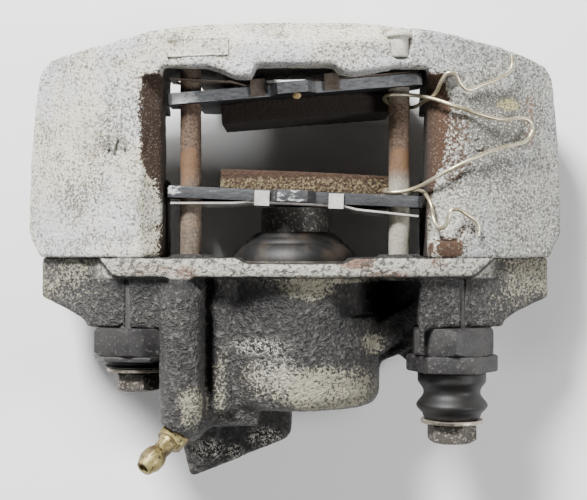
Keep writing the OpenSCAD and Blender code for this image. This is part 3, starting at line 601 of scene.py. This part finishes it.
def castSkin(nodeName, pieceName, finish):
    # rounds a sharp CAD casting into one that has come out of sand
    piece = copyNode(nodeName, pieceName)
    applyModifier(piece, "REMESH", mode="VOXEL",
                  voxel_size=castings["voxel"])
    applyModifier(piece, "SMOOTH", factor=0.5, iterations=castings["smooth"])
    for size, height, octaves in (("swellSize", "swell", 2), ("peelSize", "peel", 3)):
        clouds = bpy.data.textures.new(pieceName + size, "CLOUDS")
        clouds.noise_scale = castings[size]
        clouds.noise_depth = octaves
        applyModifier(piece, "DISPLACE", texture=clouds, texture_coords="LOCAL",
                      strength=castings[height], mid_level=0.5)
    onlySelect(piece)
    bpy.ops.object.shade_smooth()
    settle(piece, nodeName, finishes[finish], "housing")
    return piece


outerCasting = castSkin("outer_housing", "outerCasting", "pale")

# raised foundry marks on the outer casting: bars, a shallow panel, a ring and a dot, none of them letters
marks = {
    "bars": [(-80.4, -0.9, 1.3, 5.6, 14), (-76.8, -1.6, 1.3, 6, -16), (-73.2, -1.2, 1.2, 5.4, 12)],
    "barThick": 2.8,
    "panel": {"at": (-41, 38.4), "size": (27, 7.4), "thick": 1.4, "rim": 1, "sunk": 0.55},
    "ring": {"at": (78.5, -1), "major": 2.7, "minor": 0.5},
    "dot": {"at": (87, 3.5), "radius": 0.95},
}


def onCasting(x, y, halfX, halfY):
    # the mean height of the casting under a mark, and the turn that lays the mark flat on it
    heights, facings = [], []
    for offX in (-1, -0.5, 0, 0.5, 1):
        for offY in (-1, 0, 1):
            above = Vector(((x + offX * halfX) * mm, (y + offY * halfY) * mm, 0.1))
            found, spot, facing, face = outerCasting.ray_cast(above, Vector((0, 0, -1)))
            heights.append(spot.z)
            facings.append(facing)
    facing = sum(facings, Vector()).normalized()
    spot = Vector((x * mm, y * mm, sum(heights) / len(heights)))
    return spot, Vector((0, 0, 1)).rotation_difference(facing).to_euler()


def layOn(x, y, halfX=1.5, halfY=1.5, turn=0.0):
    # turns and moves what is being edited from the origin onto the casting
    spot, lean = onCasting(x, y, halfX, halfY)
    bpy.ops.mesh.select_all(action="SELECT")
    for angle, axis in ((turn, "Z"), (lean.x, "X"), (lean.y, "Y"), (lean.z, "Z")):
        bpy.ops.transform.rotate(value=-angle, orient_axis=axis, center_override=(0, 0, 0))
    bpy.ops.transform.translate(value=spot)
    bpy.ops.object.mode_set(mode="OBJECT")
    return bpy.context.object


def startCube(wide, long, thick):
    bpy.ops.object.select_all(action="DESELECT")
    bpy.ops.mesh.primitive_cube_add(size=mm, location=(0, 0, 0))
    bpy.ops.object.mode_set(mode="EDIT")
    bpy.ops.mesh.select_all(action="SELECT")
    bpy.ops.transform.resize(value=(wide, long, thick))


relief = []
for x, y, wide, long, turn in marks["bars"]:
    startCube(wide, long, marks["barThick"])
    bpy.ops.mesh.bevel(offset=0.3 * mm, segments=2)
    relief.append(layOn(x, y, 1, 2.5, math.radians(turn)))
startCube(*marks["panel"]["size"], marks["panel"]["thick"])
bpy.ops.mesh.select_mode(type="FACE")
bpy.ops.mesh.select_all(action="DESELECT")
bpy.ops.object.mode_set(mode="OBJECT")
for face in bpy.context.object.data.polygons:
    face.select = face.normal.z > 0.9
bpy.ops.object.mode_set(mode="EDIT")
bpy.ops.mesh.inset(thickness=marks["panel"]["rim"] * mm)
bpy.ops.mesh.select_mode(type="VERT")
bpy.ops.transform.translate(value=(0, 0, -marks["panel"]["sunk"] * mm))
bpy.ops.mesh.select_all(action="SELECT")
bpy.ops.mesh.bevel(offset=0.25 * mm, segments=2)
relief.append(layOn(*marks["panel"]["at"], 11.5, 2.6))
bpy.ops.object.select_all(action="DESELECT")
bpy.ops.mesh.primitive_torus_add(major_radius=marks["ring"]["major"] * mm,
                                 minor_radius=marks["ring"]["minor"] * mm,
                                 major_segments=40, minor_segments=10)
bpy.ops.object.mode_set(mode="EDIT")
bpy.ops.mesh.select_all(action="SELECT")
bpy.ops.transform.resize(value=(1, 0.92, 1.2))
relief.append(layOn(*marks["ring"]["at"]))
bpy.ops.object.select_all(action="DESELECT")
bpy.ops.mesh.primitive_uv_sphere_add(radius=marks["dot"]["radius"] * mm, segments=16, ring_count=10)
bpy.ops.object.mode_set(mode="EDIT")
bpy.ops.mesh.select_all(action="SELECT")
bpy.ops.transform.resize(value=(1, 1, 0.7))
relief.append(layOn(*marks["dot"]["at"]))
onlySelect(outerCasting, *relief)
bpy.ops.object.join()
dress(outerCasting, finishes["pale"])
onlySelect(outerCasting)
bpy.ops.object.shade_smooth()
cylinderCasting = castSkin("cylinder_housing", "cylinderCasting", "dark")
print("castings made:", len(outerCasting.data.polygons), len(cylinderCasting.data.polygons), "faces")


# pieces whose CAD shape is kept, with their edges broken
def brokenEdges(nodeName, pieceName, finish, body, width, segments=2):
    piece = copyNode(nodeName, pieceName)
    bpy.ops.object.mode_set(mode="EDIT")
    bpy.ops.mesh.select_all(action="SELECT")
    bpy.ops.mesh.dissolve_limited(angle_limit=math.radians(0.6))
    bpy.ops.object.mode_set(mode="OBJECT")
    applyModifier(piece, "BEVEL", width=width * mm, segments=segments, limit_method="ANGLE",
                  angle_limit=math.radians(38), miter_outer="MITER_ARC")
    onlySelect(piece)
    bpy.ops.object.shade_smooth_by_angle(angle=math.radians(35))
    settle(piece, nodeName, finishes[finish], body)


edges = {"plate": 0.7, "bridgeBolt": 0.45, "bootCarrier": 0.3, "washer": 0.25, "pinBolt": 0.5,
         "bleedScrew": 0.3, "wallPin": 0.6}
brokenEdges("inner_pad_plate", "innerPlate", "plate", "inner_pad", edges["plate"], 3)
brokenEdges("outer_pad_plate", "outerPlate", "plate", "outer_pad", edges["plate"], 3)

# a dab of dried grease that hangs from the outer plate's hump
dab = {"at": (0.8, 19.6, 29.4), "size": (1.9, 1.5, 1.2)}
bpy.ops.object.select_all(action="DESELECT")
bpy.ops.mesh.primitive_ico_sphere_add(subdivisions=3, radius=mm)
dabPiece = bpy.context.object
dabPiece.name = "greaseDab"
bpy.ops.object.mode_set(mode="EDIT")
bpy.ops.mesh.select_all(action="SELECT")
bpy.ops.transform.resize(value=dab["size"])
bpy.ops.transform.vertex_random(offset=0.12 * mm, seed=4)
bpy.ops.transform.translate(value=Vector(dab["at"]) * mm)
bpy.ops.object.mode_set(mode="OBJECT")
bpy.ops.object.shade_smooth()
settle(dabPiece, None, finishes["grease"], "outer_pad")
for side in ("left", "right"):
    brokenEdges("bridge_bolt_" + side, "bridgeBolt." + side, "black", "housing",
                edges["bridgeBolt"])
    brokenEdges("boot_carrier_" + side, "bootCarrier." + side, "black", "housing",
                edges["bootCarrier"])
    brokenEdges("slide_washer_" + side, "slideWasher." + side, "washer", "guide_" + side,
                edges["washer"])
    brokenEdges("pin_bolt_" + side, "pinBolt." + side, "bolt", "guide_" + side,
                edges["pinBolt"])
brokenEdges("bleeder_screw", "bleedScrew", "zinc", "bleeder", edges["bleedScrew"])
brokenEdges("wall_pin", "wallPin", "wallPin", "housing", edges["wallPin"], 3)
for nodeName, finish in {"inner_pad_shim": "innerShim", "outer_pad_shim": "outerShim",
                         "piston": "piston", "piston_seal": "slideBoot", "boot_ring": "ring",
                         "pad_pin_ring_left": "ring", "pad_pin_ring_right": "ring",
                         "slide_pin_left": "guide", "slide_pin_right": "guide"}.items():
    dress(nodes[nodeName], finishes[finish])
print("machined pieces finished")


# linings and pad pins, with crumbly and rusted skins
def roughSkin(nodeName, pieceName, finish, body, slot, voxel, height, size):
    piece = copyNode(nodeName, pieceName)
    applyModifier(piece, "REMESH", mode="VOXEL", voxel_size=voxel * mm)
    applyModifier(piece, "SMOOTH", factor=0.5, iterations=2)
    clouds = bpy.data.textures.new(pieceName, "CLOUDS")
    clouds.noise_scale = size * mm
    clouds.noise_depth = 3
    applyModifier(piece, "DISPLACE", texture=clouds, texture_coords="LOCAL", strength=height * mm,
                  mid_level=0.5)
    onlySelect(piece)
    bpy.ops.object.shade_smooth()
    settle(piece, nodeName, finishes[finish], body)


skins = {
    "lining": {"voxel": 0.6, "height": 0.5, "size": 2.2},
    "padPin": {"voxel": 0.5, "height": 0.22, "size": 2.5},
}
for pad in ("inner", "outer"):
    roughSkin(pad + "_pad_lining", pad + "Lining", "lining", pad + "_pad", "lining", **skins["lining"])
for side in ("left", "right"):
    roughSkin("pad_pin_" + side, "padPin." + side, "padPin", "housing", "rusty_pin", **skins["padPin"])
print("linings and pad pins made")


# rubber boots, turned from a profile
def turned(pieceName, profile, x, z):
    # profile is a closed loop of (radius, y) in mm, spun about the line along Y at x, z
    bpy.ops.object.select_all(action="DESELECT")
    bpy.ops.mesh.primitive_plane_add(size=mm, location=(0, 0, 0))
    piece = bpy.context.object
    piece.name = pieceName
    bpy.ops.object.mode_set(mode="EDIT")
    bpy.ops.mesh.select_all(action="SELECT")
    bpy.ops.mesh.merge(type="CENTER")
    points = [Vector(((x + radius) * mm, y * mm, z * mm)) for radius, y in profile]
    bpy.ops.transform.translate(value=points[0])
    for before, after in zip(points, points[1:] + points[:1]):
        bpy.ops.mesh.extrude_region_move(TRANSFORM_OT_translate={"value": after - before})
    bpy.ops.mesh.select_all(action="SELECT")
    bpy.ops.mesh.remove_doubles(threshold=0.001 * mm)
    bpy.ops.mesh.select_all(action="SELECT")
    bpy.ops.mesh.spin(steps=72, angle=math.tau, center=(x * mm, 0, z * mm), axis=(0, 1, 0))
    bpy.ops.mesh.select_all(action="SELECT")
    bpy.ops.mesh.remove_doubles(threshold=0.01 * mm)
    bpy.ops.mesh.normals_make_consistent(inside=False)
    bpy.ops.object.mode_set(mode="OBJECT")
    applyModifier(piece, "SUBSURF", levels=1, render_levels=1)
    onlySelect(piece)
    bpy.ops.object.shade_smooth()
    return piece


def bootPiece(nodeName, pieceName, finish, profile, x, z):
    piece = turned(pieceName, profile, x, z)
    dress(piece, finishes[finish])
    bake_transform(piece)
    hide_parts(nodeName)


pistonBoot = {
    "profile": [(24.7, -54.3), (27.8, -54.3), (27.85, -52.8), (27.8, -50.6), (27.2, -48.6), (26, -46.6),
                (24.4, -45), (23.6, -44.3), (22.9, -44.2), (22.3, -43.6), (21.8, -42.6), (20.6, -41.6),
                (19.6, -41.2), (18.9, -40.4), (17.6, -39.2), (16.4, -38.8), (15.2, -38.75),
                (14.2, -38.9), (14.2, -40.6), (15.4, -40.8), (16.6, -41.4), (18.6, -42.6),
                (20.6, -44.2), (22.6, -46.2), (24.2, -48.4), (24.9, -50.6)],
    "start": -53, "end": -40.5}
bootPiece("piston_boot", "pistonBoot", "boot", pistonBoot["profile"], 0, 0)

guideHeight = 17  # of the guide pins above the piston, in mm
slideBoots = {
    "right": {"x": 69, "face": -120.8, "top": -99.7,
              "profile": [(8.5, 0.15), (11.6, 0.15), (12.3, 0.5), (12.6, 1.6), (12.9, 2.6), (13.6, 3.4),
                          (15.2, 4.8), (15.7, 5.8), (15.6, 6.8), (14.6, 8.2), (13.4, 9.4), (12.7, 10.6),
                          (12.4, 11.8), (12.5, 12.8), (13.2, 14.2), (14.6, 15.8), (15, 16.6),
                          (15.05, 18), (15, 20.7), (14.6, 20.95), (10.6, 20.95), (10.6, 17.2),
                          (10.7, 13), (11.2, 10.6), (13.4, 7.6), (13.6, 6.2), (12.2, 4.4), (10.4, 2.6),
                          (8.5, 2.4)]},
    "left": {"x": -69, "face": -98, "top": -94.6,
             "profile": [(8.8, 0.1), (13.6, 0.1), (14.5, 0.4), (14.6, 0.9), (13.4, 1.3), (13, 1.6),
                         (13.8, 1.9), (14.5, 2.3), (14.4, 2.9), (13.6, 3.25), (10.7, 3.25),
                         (10.7, 0.8)]},
}
for side, boot in slideBoots.items():
    profile = [(radius, boot["face"] + y) for radius, y in boot["profile"]]
    bootPiece("slide_boot_" + side, "slideBoot." + side, "slideBoot", profile, boot["x"], guideHeight)
print("boots turned")


# the wire spring, in two halves that meet at the tip of its V
wire = {
    "radius": 0.85,
    "outer": [(94, 38, 25), (93.4, 31.6, 26), (87.4, 27, 28.5), (80, 24, 31), (73.8, 21.6, 33.2),
              (70.2, 23.9, 35.2), (68, 27.3, 36.6), (65, 28.3, 36.8), (62.6, 25.8, 35),
              (60.4, 20.7, 30), (56.2, 18.1, 21), (51.8, 16.6, 12.6), (46, 17.6, 8.9), (41, 19.2, 10.4),
              (39.6, 20.6, 15), (41.6, 21.2, 19.6), (46, 21.2, 21.2), (51.5, 20.5, 23.6),
              (58, 18.7, 28.6), (70.4, 13.9, 33.6), (83.6, 10.2, 30.5), (91.5, 9.5, 26.8),
              (97.7, 10.6, 23.6), (102.6, 9.2, 21.2), (103.9, 5.6, 20.6)],
    "inner": [(103.9, 5.6, 20.6), (101.6, 1.6, 21.6), (95.5, -1, 24.5), (88.4, -2.7, 28),
              (74.5, -8.4, 33.4), (62, -14.6, 31.4), (52.6, -19.6, 24), (46, -21.3, 21.2),
              (41.6, -21.4, 19.6), (39.6, -20.9, 15), (41, -19.8, 10.4), (46, -19.4, 8.9),
              (51.6, -20.3, 12), (55.6, -20.9, 18.5), (57.4, -24, 25.8), (58.8, -28, 28.6),
              (59.4, -32.8, 29.6), (60.8, -36.6, 32.4), (62.9, -37.3, 34.8), (64.8, -33.6, 36.6),
              (65.8, -30.2, 36.8), (68.2, -29.4, 36.6), (73, -31.7, 35), (78.3, -36.3, 31.8),
              (78.3, -40.6, 31.4)],
}


def bentWire(pieceName, points):
    bpy.ops.object.select_all(action="DESELECT")
    bpy.ops.curve.primitive_bezier_curve_add(location=(0, 0, 0))
    piece = bpy.context.object
    piece.name = pieceName
    spline = piece.data.splines[0]
    spline.bezier_points.add(len(points) - 2)
    for knot, point in zip(spline.bezier_points, points):
        knot.co = Vector(point) * mm
        knot.handle_left_type = knot.handle_right_type = "AUTO"
    piece.data.dimensions = "3D"
    piece.data.resolution_u = 8
    piece.data.bevel_depth = wire["radius"] * mm
    piece.data.bevel_resolution = 4
    piece.data.use_fill_caps = True
    onlySelect(piece)
    bpy.ops.object.convert(target="MESH")
    piece = bpy.context.object
    bpy.ops.object.shade_smooth()
    dress(piece, finishes["wire"])
    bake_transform(piece)
    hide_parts("pad_spring")


bentWire("wireSpring.outer", wire["outer"])
bentWire("wireSpring.inner", wire["inner"])
print("wire spring bent")
